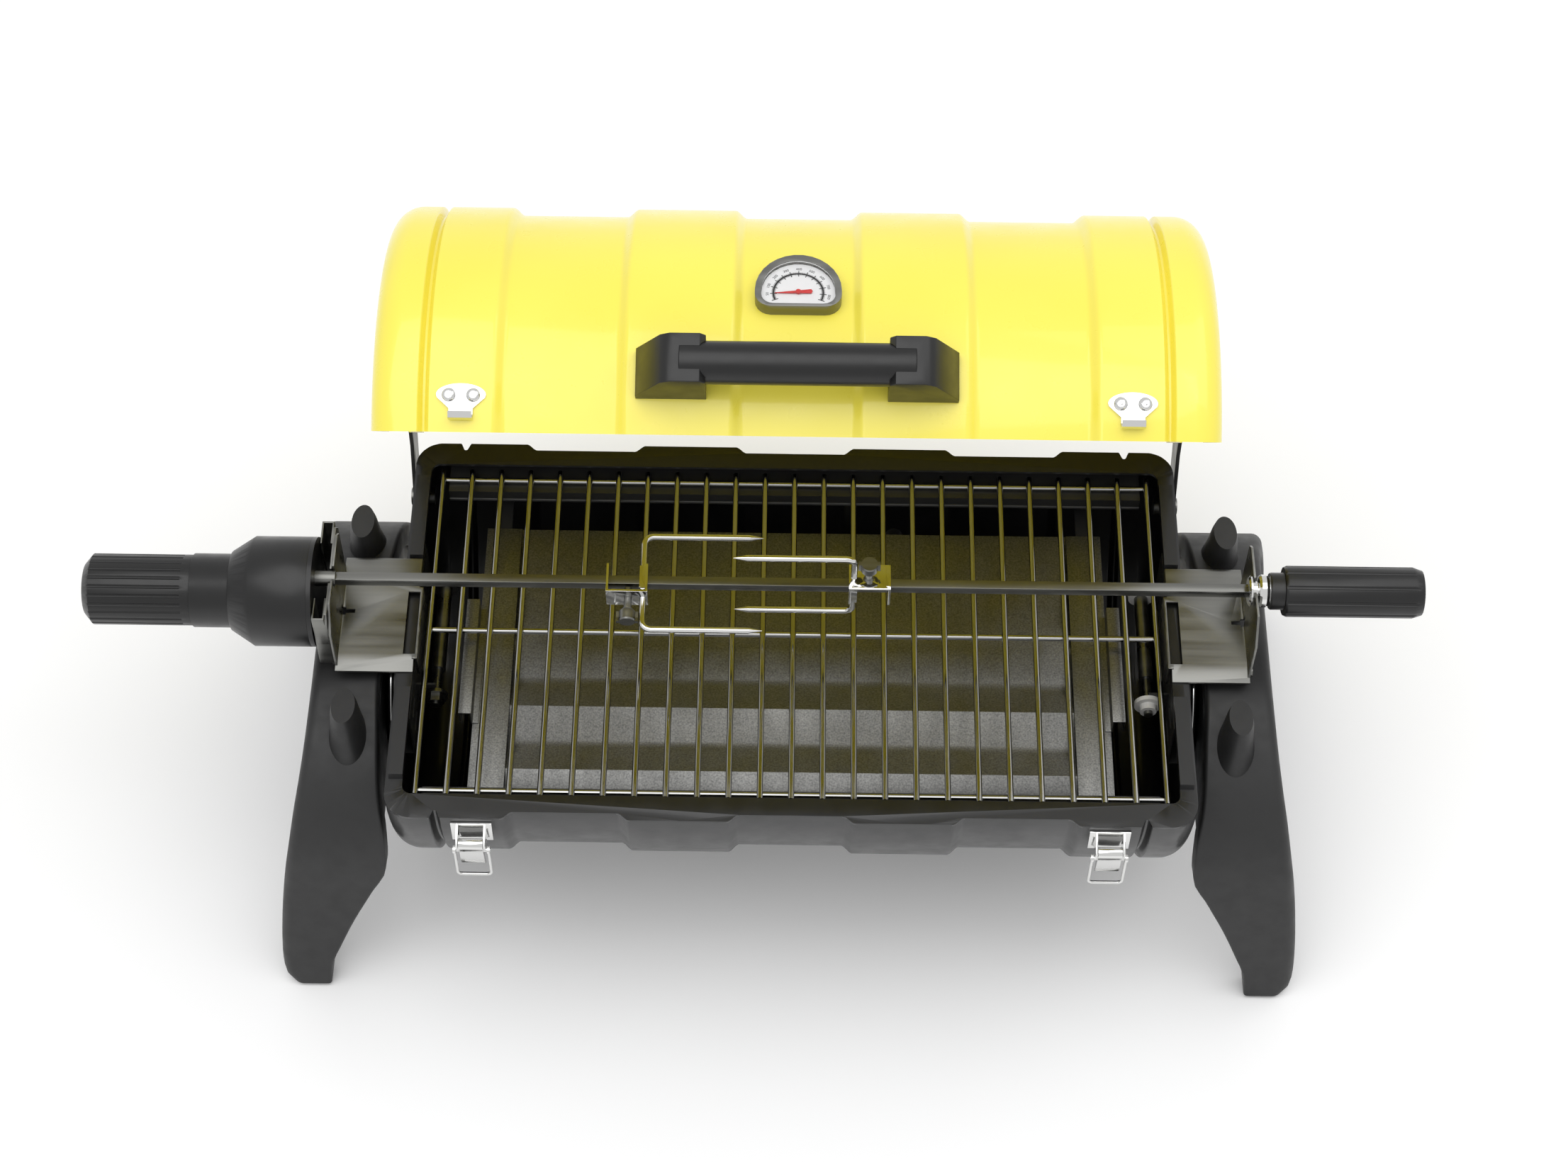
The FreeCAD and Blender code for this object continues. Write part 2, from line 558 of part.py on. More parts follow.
def make_motor():
    front, straight, cone, seam, end = MOTOR_X
    outside = [(front, 0), (front, MOTOR_R), (straight, MOTOR_R), (cone, 26), (cone, NECK_R), (seam, NECK_R),
               (seam, 0)]
    inside = [(front - 3, 0), (front - 3, MOTOR_R - MOTOR_WALL), (straight, MOTOR_R - MOTOR_WALL),
              (cone + 2, 24), (cone + 2, NECK_R - MOTOR_WALL), (seam + 6, NECK_R - MOTOR_WALL), (seam + 6, 0)]
    shell = turned_x(outside, 0, MOTOR_Z).cut(turned_x(inside, 0, MOTOR_Z))
    shell = shell.cut(box(front - 3, front + 1, -BIG, BIG, -BIG, BIG))
    tail_pocket = rod_x(seam - 1, seam + 3, 0, MOTOR_Z, NECK_R - MOTOR_WALL)
    switch_hole = box(-377.3, -365.7, -3, 3, MOTOR_Z - 30, MOTOR_Z - 15)
    save("motor_housing", shell.cut(tail_pocket).cut(switch_hole))
    plate = rod_x(front - 3, front, 0, MOTOR_Z, MOTOR_R - 0.05)
    plate = plate.cut(rod_x(-BIG, 0, 0, SPIT_Z, 5.05))
    wheel_z = SPIT_Z - GEAR_STEP
    save("motor_face_plate", plate)
    tube = turned_x([(seam, BATTERY_R), (end + 5, BATTERY_R), (end, BATTERY_R - 6), (end, 0), (end + 2, 0),
                     (end + 2, 18.5), (seam, 18.5)], 0, MOTOR_Z)
    for k in range(24):
        a = math.radians(15 * k)
        tube = tube.cut(rod_x(end - 1, seam - 6, (BATTERY_R + 0.6) * math.cos(a),
                              MOTOR_Z + (BATTERY_R + 0.6) * math.sin(a), 1.3))
    save("battery_cover", tube)
    cell = fuse([rod_x(end + 7, end + 67, 0, MOTOR_Z, 16.6), rod_x(end + 67, end + 68.6, 0, MOTOR_Z, 4.7)])
    save("battery_cell", cell)
    spring = Part.makeCone(9, 6, 4.5, V(end + 2.2, 0, MOTOR_Z), V(1, 0, 0)).cut(
        Part.makeCone(7.8, 4.8, 4.5, V(end + 2.2, 0, MOTOR_Z), V(1, 0, 0)))
    save("battery_contact", spring)
    pinion_z = SPIT_Z - 2 * GEAR_STEP
    can = fuse([rod_x(-352, -327, 0, pinion_z, 10.0), rod_x(-327, -325, 0, pinion_z, 3.5)])
    can = can.cut(rod_x(-326.5, -324, 0, pinion_z, 1.06))
    terminal = rod_x(seam - 0.8, seam + 3, 0, MOTOR_Z, 7.5)
    save("dc_motor", [can, terminal])
    plate = rod_x(-325, -323.6, 0, MOTOR_Z, MOTOR_R - MOTOR_WALL).common(box(-BIG, 0, -16, 16, -BIG, BIG))
    for z, bore in ((wheel_z, 1.56), (pinion_z, 1.4), (SPIT_Z, 2.06)):
        plate = plate.cut(rod_x(-BIG, 0, 0, z, bore))
    save("gear_plate", plate)


def make_gears():
    """Output gear on the spit axis, a compound wheel below it and the motor's pinion at the bottom."""
    wheel_z = SPIT_Z - GEAR_STEP
    pinion_z = SPIT_Z - 2 * GEAR_STEP
    half_pitch = math.pi / WHEEL_TEETH
    socket = rod_x(-313.6, -295, 0, SPIT_Z, 5.0)
    bore = SPIT_HALF + SPIT_PLAY
    socket = socket.cut(box(-312, 0, -bore, bore, SPIT_Z - bore, SPIT_Z + bore))
    shaft = rod_x(-327, -317, 0, SPIT_Z, 2.0)
    top = gear(WHEEL_TEETH, -317, -313.6, 0, SPIT_Z, math.pi / 2)
    save("drive_socket", fuse([socket, shaft, top]))
    small = gear(PINION_TEETH, -317.4, -313.2, 0, wheel_z, math.pi / 2 + math.pi / PINION_TEETH)
    large = gear(WHEEL_TEETH, -321.4, -318.4, 0, wheel_z, math.pi / 2)
    neck = rod_x(-318.6, -317.2, 0, wheel_z, 2.0)
    axle = rod_x(-327, -321.2, 0, wheel_z, 1.5)
    save("reduction_gear", fuse([small, large, neck, axle]))
    pinion_turn = -math.pi / 2 + half_pitch * WHEEL_TEETH / PINION_TEETH
    pinion = gear(PINION_TEETH, -321.6, -318.2, 0, pinion_z, pinion_turn)
    save("motor_pinion", fuse([pinion, rod_x(-326, -321.4, 0, pinion_z, 1.0)]))


def make_switch():
    body = box(-377, -370, -2.7, 2.7, MOTOR_Z - 27.2, MOTOR_Z - 21.5)
    save("motor_switch", body.makeFillet(1.0, [e for e in body.Edges if abs(e.tangentAt(0).y) > 0.9]))


# ---------------------------------------------------------------- spit and forks

def make_spit():
    bar = box(-311, 296, -SPIT_HALF, SPIT_HALF, SPIT_Z - SPIT_HALF, SPIT_Z + SPIT_HALF)
    save("spit_rod", bar)
    inner = [(292.5, 0), (292.5, 8.5), (293.5, 10), (294.6, 10), (295.4, 6.1), (298.2, 6.1)]
    outer = [(299, 9.6), (300.5, 10.6), (303.5, 10.6), (305.5, 9.2), (306, 9.2), (306, 0)]
    spool = turned_x(inner + outer, 0, SPIT_Z)
    spool = spool.cut(box(280, 296, -SPIT_HALF, SPIT_HALF, SPIT_Z - SPIT_HALF, SPIT_Z + SPIT_HALF))
    save("spit_bushing", spool)
    grip = turned_x([(306, 0), (306, 11.5), (307, 12), (315, 12), (315, 15.5), (317, 16.5), (398, 16.5),
                     (404, 14.5), (404, 0)], 0, SPIT_Z)
    for k in range(10):
        a = math.radians(36 * k + 8)
        y, z = 17.1 * math.cos(a), SPIT_Z + 17.1 * math.sin(a)
        grip = grip.cut(rod_x(314, 410, y, z, 1.4))
    save("spit_handle", grip)


def make_fork(fork):
    """A two-tined fork on a U-shaped clamp block, drawn with the clamp below the spit and then turned."""
    x, side = fork["x"], fork["toward"]
    front, back = x + 3.2 * side, x - 23.5 * side
    x0, x1 = min(front, back), max(front, back)
    hole = 2 * SPIT_HALF + 1.05
    walls = [box(x0, x0 + 1.5, -9, 9, -11.5, 9), box(x1 - 1.5, x1, -9, 9, -11.5, 9)]
    walls.append(box(x0, x1, -9, 9, -11.5, -10))
    block = fuse(walls)
    block = block.cut(box(x0 - 1, x1 + 1, -hole / 2, hole / 2, -hole / 2, hole / 2))
    screw_x = x - 9.5 * side
    block = block.cut(rod_z(-20, 0, screw_x, 0, 2.6))
    bend = 6.0
    reach = TINE_SPREAD
    tip = fork["tip"]
    wires = []
    for sign in (-1, 1):
        start = V(x, 0, sign * 5.5)
        corner_a = V(x, 0, sign * (reach - bend))
        corner_b = V(x + side * bend, 0, sign * reach)
        mid = V(x + side * bend * (1 - math.sqrt(0.5)), 0, sign * (reach - bend * (1 - math.sqrt(0.5))))
        end = V(tip - side * 9, 0, sign * reach)
        path = Part.Wire([Part.makeLine(start, corner_a), Part.Arc(corner_a, mid, corner_b).toShape(),
                          Part.makeLine(corner_b, end)])
        ring = Part.Wire([Part.makeCircle(TINE_R, start, V(0, 0, sign))])
        wires.append(path.makePipeShell([ring], True, False))
        wires.append(Part.makeCone(TINE_R, 0.3, 9, end, V(side, 0, 0)))
    cross = [rod_y(-7, 7, x, sign * 6.6, TINE_R) for sign in (-1, 1)]
    cheeks = [box(x - TINE_R, x + TINE_R, y, y + 3, -8, 8) for y in (-8.2, 5.2)]
    tines = fuse(wires + cross + cheeks)
    tines = tines.cut(box(x - 5, x + 5, -4.4, 4.4, -4.4, 4.4)).cut(block)
    knob = turned_z([(0, -29), (5, -29), (5.5, -28), (5.5, -22), (4.8, -21), (3.4, -21), (3.4, -19.5),
                     (2.5, -19.5), (2.5, -4.6), (0, -4.6)])
    wing = box(-7, 7, -1.4, 1.4, -29, -22)
    screw = knob.fuse(wing).removeSplitter().translated(V(screw_x, 0, 0))
    for name, shape in ((fork["name"], fuse([block, tines])), (fork["name"] + "_screw", screw)):
        placed = shape.translated(V(0, 0, SPIT_Z))
        save(name, spun(placed, fork["turn"] + 90, 0, SPIT_Z))


# ---------------------------------------------------------------- lid

def lid_trim():
    """What is cut off the lid's lower edge: a gap over the rim, and relief behind for the swing."""
    gap = box(-BIG, BIG, -BIG, BIG, -BIG, LID_GAP)
    relief = prism_yz([(100, LID_GAP - 5), (112, 1.5), (160, 15.9), (160, -5)], -BIG, BIG)
    return gap.fuse(relief)


def lid_end_shape():
    """The right-hand end of the lid, with a slot that follows the spit as the lid swings."""
    end = drum_end(-1).cut(lid_trim())
    slot = [(-38, -1), (-10, 58), (-5, 63), (8, 63), (13, 57), (16, -1)]
    end = end.cut(prism_yz(slot, 200, BIG))
    end = end.cut(box(250, BIG, -56, 56, -1, 9))
    for y, z in ((66, 20), (66, 52), (84, 36)):
        end = end.cut(rod_x(200, BIG, y, z, 2.6))
    return end


def make_lid_shell():
    wall = drum_wall(-1).cut(lid_trim())
    stem_hole = on_lid(rod_z(-20, 20, 0, 0, 4.2), GAUGE_DEG, DRUM_R - RECESS)
    save("lid_drum", opened(wall.cut(stem_hole)))
    end = lid_end_shape()
    save("lid_right_end", opened(end))
    save("lid_left_end", opened(mirrored(end)))


def strap(points, width, x0, x1):
    """A flat bar through (y, z) points, with round ends."""
    shapes = []
    for y, z in points:
        shapes.append(rod_x(x0, x1, y, z, width / 2))
    for (ya, za), (yb, zb) in zip(points, points[1:]):
        length = math.hypot(yb - ya, zb - za)
        ny, nz = -(zb - za) / length * width / 2, (yb - ya) / length * width / 2
        near = [(ya + ny, za + nz), (yb + ny, zb + nz)]
        far = [(yb - ny, zb - nz), (ya - ny, za - nz)]
        shapes.append(prism_yz(near + far, x0, x1))
    return fuse(shapes)


def make_arms():
    arm = strap([(HINGE_Y, HINGE_Z), (108, 0), (66, 40)], 22, ARM_X[0], ARM_X[1])
    pad = rod_x(HALF_LENGTH, ARM_X[0], 66, 36, 20).common(box(0, BIG, 50, 90, 16, 60))
    arm = fuse([arm, pad])
    for y, z in ((66, 20), (66, 52), (84, 36)):
        arm = arm.cut(rod_x(200, BIG, y, z, 2.6))
    arm = arm.cut(rod_x(200, BIG, HINGE_Y, HINGE_Z, 3.05))
    save("lid_arms", [opened(shape) for shape in pair(arm)])
    rivets = []
    for y, z in ((66, 20), (66, 52), (84, 36)):
        rivet = rod_x(HALF_LENGTH - SHEET, ARM_X[1], y, z, 2.5)
        head = Part.makeSphere(4.2, V(ARM_X[1] - 1.8, y, z)).common(box(ARM_X[1], BIG, -BIG, BIG, -BIG, BIG))
        tail = rod_x(HALF_LENGTH - SHEET - 1.4, HALF_LENGTH - SHEET, y, z, 4.0)
        rivets += pair(fuse([rivet, head, tail]))
    save("arm_rivets", [opened(shape) for shape in rivets])
    collars = [rod_x(HALF_LENGTH - SHEET - 8, HALF_LENGTH - 2, HINGE_Y, HINGE_Z, 6.0),
               rod_x(HALF_LENGTH - 2, ARM_X[0] - 0.4, HINGE_Y, HINGE_Z, 6.0)]
    shaft = rod_x(HALF_LENGTH - SHEET - 8, ARM_X[1] + 1.2, HINGE_Y, HINGE_Z, 3.0)
    head = rod_x(ARM_X[1] + 0.4, ARM_X[1] + 2.4, HINGE_Y, HINGE_Z, 6.0)
    pin = fuse([fuse(collars).cut(drum_end(1)), shaft, head])
    save("lid_hinge_pins", pair(pin))


def make_lid_handle():
    """A tube between two blocks whose outer ends slope down to the lid."""
    rise = 41.0
    tube_z = 27.0
    outer_r = DRUM_R
    side_view = [(54.6, 0), (54.6, rise - 4), (58, rise), (76, rise), (82, rise - 4), (97.3, 8), (97.3, 0)]
    block = prism_xz(side_view, -15, 15)
    block = block.translated(V(0, 0, -3))
    placed = on_lid(block, HANDLE_DEG, outer_r)
    block = placed.cut(rod_x(0, BIG, 0, 0, DRUM_R + 0.02))
    bore = on_lid(rod_x(0, 70, 0, tube_z, 13.0), HANDLE_DEG, outer_r)
    block = block.cut(bore)
    save("lid_handle_ends", [opened(shape) for shape in pair(block)])
    tube = rod_x(-70, 70, 0, tube_z, 13.0).cut(rod_x(-71, 71, 0, tube_z, 11.4))
    save("lid_handle_tube", opened(on_lid(tube, HANDLE_DEG, outer_r)))


def d_outline(width, height, corner):
    """A D-shaped wire: a half ellipse over a short straight foot with rounded corners."""
    half = width / 2
    base = -height * 0.32
    crown = height + base
    points = []
    for step in range(0, 181, 12):
        a = math.radians(step)
        points.append((half * math.cos(a), crown * math.sin(a)))
    for step in range(0, 91, 18):
        a = math.radians(step)
        points.append((-half + corner - corner * math.cos(a), base + corner - corner * math.sin(a)))
    for step in range(0, 91, 18):
        a = math.radians(step)
        points.append((half - corner + corner * math.sin(a), base + corner - corner * math.cos(a)))
    return points


def make_gauge():
    radius = DRUM_R - RECESS
    seat = rod_x(-BIG, BIG, 0, 0, radius + 0.02)

    def place(shape):
        return opened(on_lid(shape, GAUGE_DEG, radius).cut(seat))

    outer = d_outline(53, 41, 10)
    lens = d_outline(45.5, 34, 7.5)
    shell = prism_xy(outer, -2.5, 8).cut(prism_xy(lens, 4.0, 9)).cut(rod_z(-5, 5, 0, 0, 2.6))
    save("gauge_case", place(shell))
    dial = prism_xy([(x * 0.995, y * 0.995) for x, y in lens], 4.0, 4.6).cut(rod_z(0, 9, 0, 0, 1.0))
    save("gauge_dial", place(dial))
    glass = prism_xy([(x * 0.995, y * 0.995) for x, y in lens], 6.9, 7.7)
    save("gauge_glass", place(glass))
    needle = prism_xy([(-14.5, -0.15), (8, -1.5), (8.8, 0), (8, 1.5), (-14.5, 0.15)], 5.4, 5.9)
    hub = rod_z(5.2, 6.5, 0, 0, 1.6).fuse(rod_z(4.7, 5.3, 0, 0, 0.9))
    save("gauge_needle", place(spun_z(needle.fuse(hub), 4)))
    below = rod_x(-BIG, BIG, 0, 0, radius - SHEET - 0.02)
    nut = on_lid(hexagon_z(-7.2, -0.5, 12), GAUGE_DEG, radius).common(below)
    probe = on_lid(rod_z(-42, 3.9, 0, 0, 2.5), GAUGE_DEG, radius)
    save("gauge_stem", opened(fuse([probe, nut])))


def spun_z(shape, degrees):
    turned = shape.copy()
    turned.rotate(ORIGIN, V(0, 0, 1), degrees)
    return turned


def hexagon_z(z0, z1, across):
    r = across / math.sqrt(3)
    turns = [math.radians(60 * k) for k in range(6)]
    return prism_xy([(r * math.cos(a), r * math.sin(a)) for a in turns], z0, z1)


def make_catches():
    """A riveted plate on the lid's front with a hook that the bail pulls down on."""
    plate = box(LATCH_X - 13, LATCH_X + 13, -9, 9, 0, 1.5)
    section = [(-1, 1.5), (3, 1.5), (6, 6.0), (9, 7.5), (8, 9), (3, 8)]
    hook = prism([V(LATCH_X - 6, y, z) for y, z in section], V(12, 0, 0))
    rivets = []
    for x in (LATCH_X - 9.5, LATCH_X + 9.5):
        dome = Part.makeSphere(3.2, V(x, 0, 0.3)).common(box(0, BIG, -9, 9, 1.4, 10))
        rivets.append(dome)
    catch = on_lid(fuse([plate, hook] + rivets), CATCH_DEG, DRUM_R)
    save("lid_catches", [opened(shape) for shape in pair(catch)])


# ---------------------------------------------------------------- draw latches on the bowl

def make_latches():
    """Riveted base with a cross pin, a lever on the pin, and a wire bail that hangs from the lever."""
    cheek = [(-146.4, -20), (-146.4, -4), (-150, -4), (LATCH_Y - 3, LATCH_Z + 3)]
    cheek += [(LATCH_Y - 3.2, LATCH_Z - 1.5), (-150, -20)]
    side = prism_yz(cheek, LATCH_X - 9.4, LATCH_X - 8.0)
    mate = side.translated(V(17.4, 0, 0))
    back = box(LATCH_X - 13, LATCH_X + 13, -149.5, -146, -24, -4)
    bowl = rod_x(-BIG, BIG, 0, 0, DRUM_R + 0.02)
    whole = fuse([side, mate, back]).cut(bowl).cut(rod_x(0, BIG, LATCH_Y, LATCH_Z, 1.55))
    pin = rod_x(LATCH_X - 9.4, LATCH_X + 9.4, LATCH_Y, LATCH_Z, 1.5)
    save("latch_bases", pair(whole) + pair(pin))
    barrel = rod_x(LATCH_X - 7.7, LATCH_X + 7.7, LATCH_Y, LATCH_Z, 3.6)
    section = [(-3.2, -1), (2.6, -2), (1.2, -22), (3.6, -27), (2.2, -27.8), (-0.8, -22), (-1.8, -8)]
    section = [(LATCH_Y + y, LATCH_Z + z) for y, z in section]
    tongue = prism_yz(section, LATCH_X - 7.6, LATCH_X + 7.6)
    bail_y, bail_z = LATCH_Y - 0.6, LATCH_Z - LEVER_PIN_DROP
    cross = rod_x(LATCH_X - 12, LATCH_X + 12, bail_y, bail_z, BAIL_PIN_R)
    lever = fuse([barrel, tongue, cross]).cut(rod_x(0, BIG, LATCH_Y, LATCH_Z, 1.55))
    save("right_latch_lever", lever)
    save("left_latch_lever", mirrored(lever))
    left, right = LATCH_X - BAIL_HALF, LATCH_X + BAIL_HALF
    low = bail_z - BAIL_DROP
    bail = rod_x(left - BAIL_WIRE_R, right + BAIL_WIRE_R, bail_y, low, BAIL_WIRE_R)
    for x in (left, right):
        bail = bail.fuse(rod_z(low, bail_z - 1.5, x, bail_y, BAIL_WIRE_R))
        bail = bail.fuse(rod_x(x - 0.9, x + 0.9, bail_y, bail_z, 2.5))
    bail = bail.cut(rod_x(0, BIG, bail_y, bail_z, BAIL_PIN_R + 0.05))
    save("right_latch_bail", bail)
    save("left_latch_bail", mirrored(bail))


def main():
    os.makedirs("parts", exist_ok=True)
    make_bowl()
    make_rims()
    make_grate()
    make_supports()
    make_heat_plate()
    make_burner()
    make_end_rods()
    make_legs()
    make_brackets()
    make_motor_mount()
    make_motor()
    make_gears()
    make_switch()
    make_spit()
    make_fork(FORK_L)
    make_fork(FORK_R)
    make_lid_shell()
    make_arms()
    make_lid_handle()
    make_gauge()
    make_catches()
    make_latches()


main()
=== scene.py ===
import bpy
import bmesh
import json
import math
from mathutils import Matrix, Vector


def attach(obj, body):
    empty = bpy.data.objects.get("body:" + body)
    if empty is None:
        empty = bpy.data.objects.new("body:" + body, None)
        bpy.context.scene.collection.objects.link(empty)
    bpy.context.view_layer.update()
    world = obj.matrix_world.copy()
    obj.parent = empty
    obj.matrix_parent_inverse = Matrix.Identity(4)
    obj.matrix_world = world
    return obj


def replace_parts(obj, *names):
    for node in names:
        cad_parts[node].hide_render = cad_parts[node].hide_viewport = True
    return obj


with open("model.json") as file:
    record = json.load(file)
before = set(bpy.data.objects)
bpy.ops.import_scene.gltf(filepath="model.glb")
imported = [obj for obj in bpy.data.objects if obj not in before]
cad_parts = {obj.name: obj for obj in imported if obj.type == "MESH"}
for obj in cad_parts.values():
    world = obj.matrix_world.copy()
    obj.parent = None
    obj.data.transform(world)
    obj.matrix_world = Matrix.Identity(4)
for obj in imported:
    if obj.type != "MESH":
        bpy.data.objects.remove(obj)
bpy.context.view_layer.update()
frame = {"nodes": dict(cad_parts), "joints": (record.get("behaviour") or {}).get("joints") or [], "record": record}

JOINTS = {joint["name"]: joint for joint in frame["joints"]}
NODES = frame["nodes"]
BODY_OF = {node: body for body, nodes in frame["record"]["behaviour"]["bodies"].items() for node in nodes}
SLOT_OF = {part["node"]: part["material_slot"] for part in frame["record"]["subparts"]}

# ---------------------------------------------------------------- frame
# Shapes are drawn in millimetres about the drum: X along it, Y to the rear, Z up from the rim's top.

MM = 0.001
SPIT_HEIGHT = 50.0
DRUM = Vector(JOINTS["spit_spin"]["pos_m"]) - Vector((0, 0, SPIT_HEIGHT * MM))
HINGE = Vector(JOINTS["lid_hinge"]["pos_m"])
OPEN = math.radians(JOINTS["lid_hinge"]["range_deg"][1])

DRUM_R = 147.5
RECESS = 5.0
SHEET = 1.2
HALF_LENGTH = 258.0
BAND_STEPS = ((34.2, 39.3), (103.4, 108.6), (177.2, 182.5))
SEAM_X = 225.0
SEAM_HALF = 1.6
SHOULDER_R = 18.0
SEAM_DEPTH = 5.5
RIM_GAP = 2.0
LID_REAR_CUT, BOWL_REAR_CUT = 4.7, 0.8
PEG_X = 288.0
PEG_Y = 75.0
LATCH_X = 202.0
LATCH_Y = -159.6
CATCH_ANGLE = 10.0


def at(x, y, z):
    """A point of the drum's frame, in row metres."""
    return DRUM + Vector((x, y, z)) * MM


PLACE = Matrix.Translation(DRUM) @ Matrix.Scale(MM, 4)
SWING = Matrix.Translation(HINGE) @ Matrix.Rotation(-OPEN, 4, "X") @ Matrix.Translation(-HINGE)
ON_LID = SWING @ PLACE


def circle(count):
    """Angles evenly spaced round a full turn."""
    return [2 * math.pi * k / count for k in range(count)]


def lid_spot(angle, radius):
    """Placement on the lid at an angle above its front edge: X along the drum, Y up the lid, Z out."""
    lift = math.radians(angle)
    spot = Matrix.Translation((0, -radius * math.cos(lift), radius * math.sin(lift)))
    return ON_LID @ spot @ Matrix.Rotation(math.radians(90 - angle), 4, "X")


# ---------------------------------------------------------------- materials

def new_material(name, color, rough, metal=0.0, **sockets):
    material = bpy.data.materials.new(name)
    material.use_nodes = True
    shader = material.node_tree.nodes["Principled BSDF"]
    shader.inputs["Base Color"].default_value = (*color, 1)
    shader.inputs["Roughness"].default_value = rough
    shader.inputs["Metallic"].default_value = metal
    for key, value in sockets.items():
        shader.inputs[key.replace("_", " ")].default_value = value
    return material


def noise(material, scale, detail=4.0, stretch=(1, 1, 1)):
    """Object-space noise; stretch makes its grain long along an axis."""
    nodes, links = material.node_tree.nodes, material.node_tree.links
    place = nodes.new("ShaderNodeTexCoord")
    mapping = nodes.new("ShaderNodeMapping")
    mapping.inputs["Scale"].default_value = stretch
    texture = nodes.new("ShaderNodeTexNoise")
    texture.inputs["Scale"].default_value = scale
    texture.inputs["Detail"].default_value = detail
    links.new(place.outputs["Object"], mapping.inputs["Vector"])
    links.new(mapping.outputs["Vector"], texture.inputs["Vector"])
    return texture.outputs["Fac"]


def add_bump(material, height, strength, distance):
    nodes, links = material.node_tree.nodes, material.node_tree.links
    bump = nodes.new("ShaderNodeBump")
    bump.inputs["Strength"].default_value = strength
    bump.inputs["Distance"].default_value = distance
    links.new(height, bump.inputs["Height"])
    links.new(bump.outputs["Normal"], nodes["Principled BSDF"].inputs["Normal"])


def vary(material, factor, socket, low, high):
    """Drives a socket between two values (numbers or colours) by a noise."""
    nodes, links = material.node_tree.nodes, material.node_tree.links
    target = nodes["Principled BSDF"].inputs[socket]
    if isinstance(low, tuple):
        ramp = nodes.new("ShaderNodeValToRGB")
        ramp.color_ramp.elements[0].position = 0.3
        ramp.color_ramp.elements[1].position = 0.7
        ramp.color_ramp.elements[0].color = (*low, 1)
        ramp.color_ramp.elements[1].color = (*high, 1)
        links.new(factor, ramp.inputs["Fac"])
        links.new(ramp.outputs["Color"], target)
    else:
        scaled = nodes.new("ShaderNodeMapRange")
        scaled.inputs["From Min"].default_value = 0.3
        scaled.inputs["From Max"].default_value = 0.7
        scaled.inputs["To Min"].default_value = low
        scaled.inputs["To Max"].default_value = high
        links.new(factor, scaled.inputs["Value"])
        links.new(scaled.outputs["Result"], target)


def paint(name, dark, light, rough, coat):
    """Sprayed gloss paint: slight tone drift and a faint orange peel."""
    material = new_material(name, light, rough, 0.0, Coat_Weight=coat, Coat_Roughness=0.08)
    vary(material, noise(material, 9, 2), "Base Color", dark, light)
    vary(material, noise(material, 60, 3), "Roughness", rough * 0.85, rough * 1.2)
    add_bump(material, noise(material, 420, 2), 0.06, 0.0004)
    return material


def moulded(name, dark, light, rough, grain=0.12):
    """Moulded plastic with a fine spark-eroded grain."""
    material = new_material(name, light, rough)
    vary(material, noise(material, 14, 3), "Base Color", dark, light)
    vary(material, noise(material, 90, 3), "Roughness", rough * 0.88, rough * 1.12)
    add_bump(material, noise(material, 1700, 2), grain, 0.0003)
    return material


def brushed(name, dark, light, rough, stretch):
    """Brushed metal, with its lines along the axis that stretch makes longest."""
    material = new_material(name, light, rough, 1.0)
    lines = noise(material, 120, 5, stretch)
    vary(material, lines, "Base Color", dark, light)
    vary(material, lines, "Roughness", rough * 0.7, rough * 1.35)
    add_bump(material, lines, 0.08, 0.0002)
    return material


def polished(name, tone, rough):
    material = new_material(name, (tone, tone, tone * 0.985), rough, 1.0)
    vary(material, noise(material, 45, 4), "Roughness", rough * 0.5, rough * 1.6)
    return material


def grained(name, dark, light, rough):
    """Galvanised sheet: a fine speckle under a soft cloud."""
    material = new_material(name, light, rough, 1.0)
    vary(material, noise(material, 900, 6), "Base Color", dark, light)
    vary(material, noise(material, 30, 3), "Roughness", rough * 0.85, rough * 1.2)
    add_bump(material, noise(material, 700, 4), 0.18, 0.0003)
    return material


